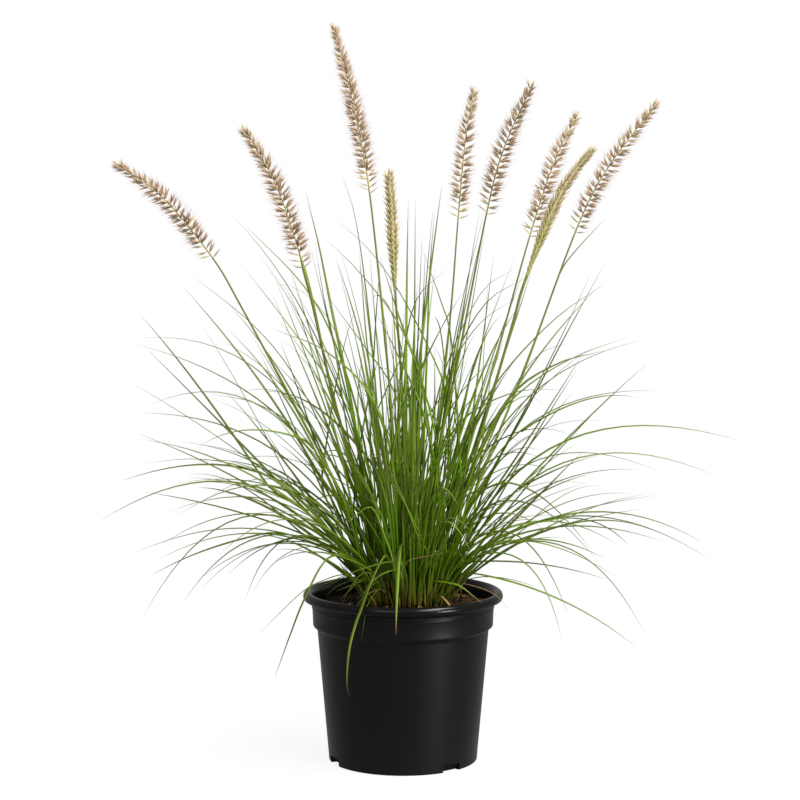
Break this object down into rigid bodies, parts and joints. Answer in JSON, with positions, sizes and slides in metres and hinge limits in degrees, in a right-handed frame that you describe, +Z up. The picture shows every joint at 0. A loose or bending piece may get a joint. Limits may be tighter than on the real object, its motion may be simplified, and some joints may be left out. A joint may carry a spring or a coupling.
{
  "type": "potted fountain grass clump",
  "caption": "Clump of fountain grass with arching leaves and upright bottle-brush plumes, growing in a round black plastic nursery pot with a rolled rim.",
  "frame": {"origin": "middle of the pot's flat underside, on the surface that it stands on", "axes": "+Z up; -Y towards the front, the side that the picture shows; +X to the right as seen from the front"},
  "size_m": [0.7257, 0.4953, 0.8494],
  "materials": {
    "pot_plastic": "satin black moulded plastic with a fine texture",
    "soil": "dark fibrous potting mix",
    "crown": "dry straw and green shoot bases",
    "leaf": "satin green grass blade with long veins",
    "stem": "smooth green stalk",
    "plume": "bristly mauve and straw flower head"
  },
  "bodies": {
    "root": {"pot": "pot_plastic", "soil": "soil", "crown": "crown", "flower_stem_1": "stem", "flower_stem_2": "stem", "flower_stem_3": "stem", "flower_stem_4": "stem", "flower_stem_5": "stem", "flower_stem_6": "stem", "flower_stem_7": "stem", "flower_stem_8": "stem", "flower_stem_9": "stem", "plume_1": "plume", "plume_2": "plume", "plume_3": "plume", "plume_4": "plume", "plume_5": "plume", "plume_6": "plume", "plume_7": "plume", "plume_8": "plume", "plume_9": "plume", "left_shoot_1": "leaf", "left_shoot_2": "leaf", "left_shoot_3": "leaf", "left_shoot_4": "leaf", "left_shoot_5": "leaf", "left_shoot_6": "leaf", "left_shoot_7": "leaf", "left_shoot_8": "leaf", "left_shoot_9": "leaf", "left_shoot_10": "leaf", "right_shoot_1": "leaf", "right_shoot_2": "leaf", "right_shoot_3": "leaf", "right_shoot_4": "leaf", "right_shoot_5": "leaf", "right_shoot_6": "leaf", "right_shoot_7": "leaf", "right_shoot_8": "leaf", "right_shoot_9": "leaf", "right_shoot_10": "leaf", "front_shoot_1": "leaf", "front_shoot_2": "leaf", "front_shoot_3": "leaf", "front_shoot_4": "leaf", "front_shoot_5": "leaf", "back_shoot_1": "leaf", "back_shoot_2": "leaf", "back_shoot_3": "leaf", "back_shoot_4": "leaf", "back_shoot_5": "leaf", "upright_shoot_1": "leaf", "upright_shoot_2": "leaf", "upright_shoot_3": "leaf", "upright_shoot_4": "leaf", "upright_shoot_5": "leaf", "upright_shoot_6": "leaf", "rim_leaf_1": "leaf", "rim_leaf_2": "leaf", "rim_leaf_3": "leaf"}
  },
  "joints": []
}
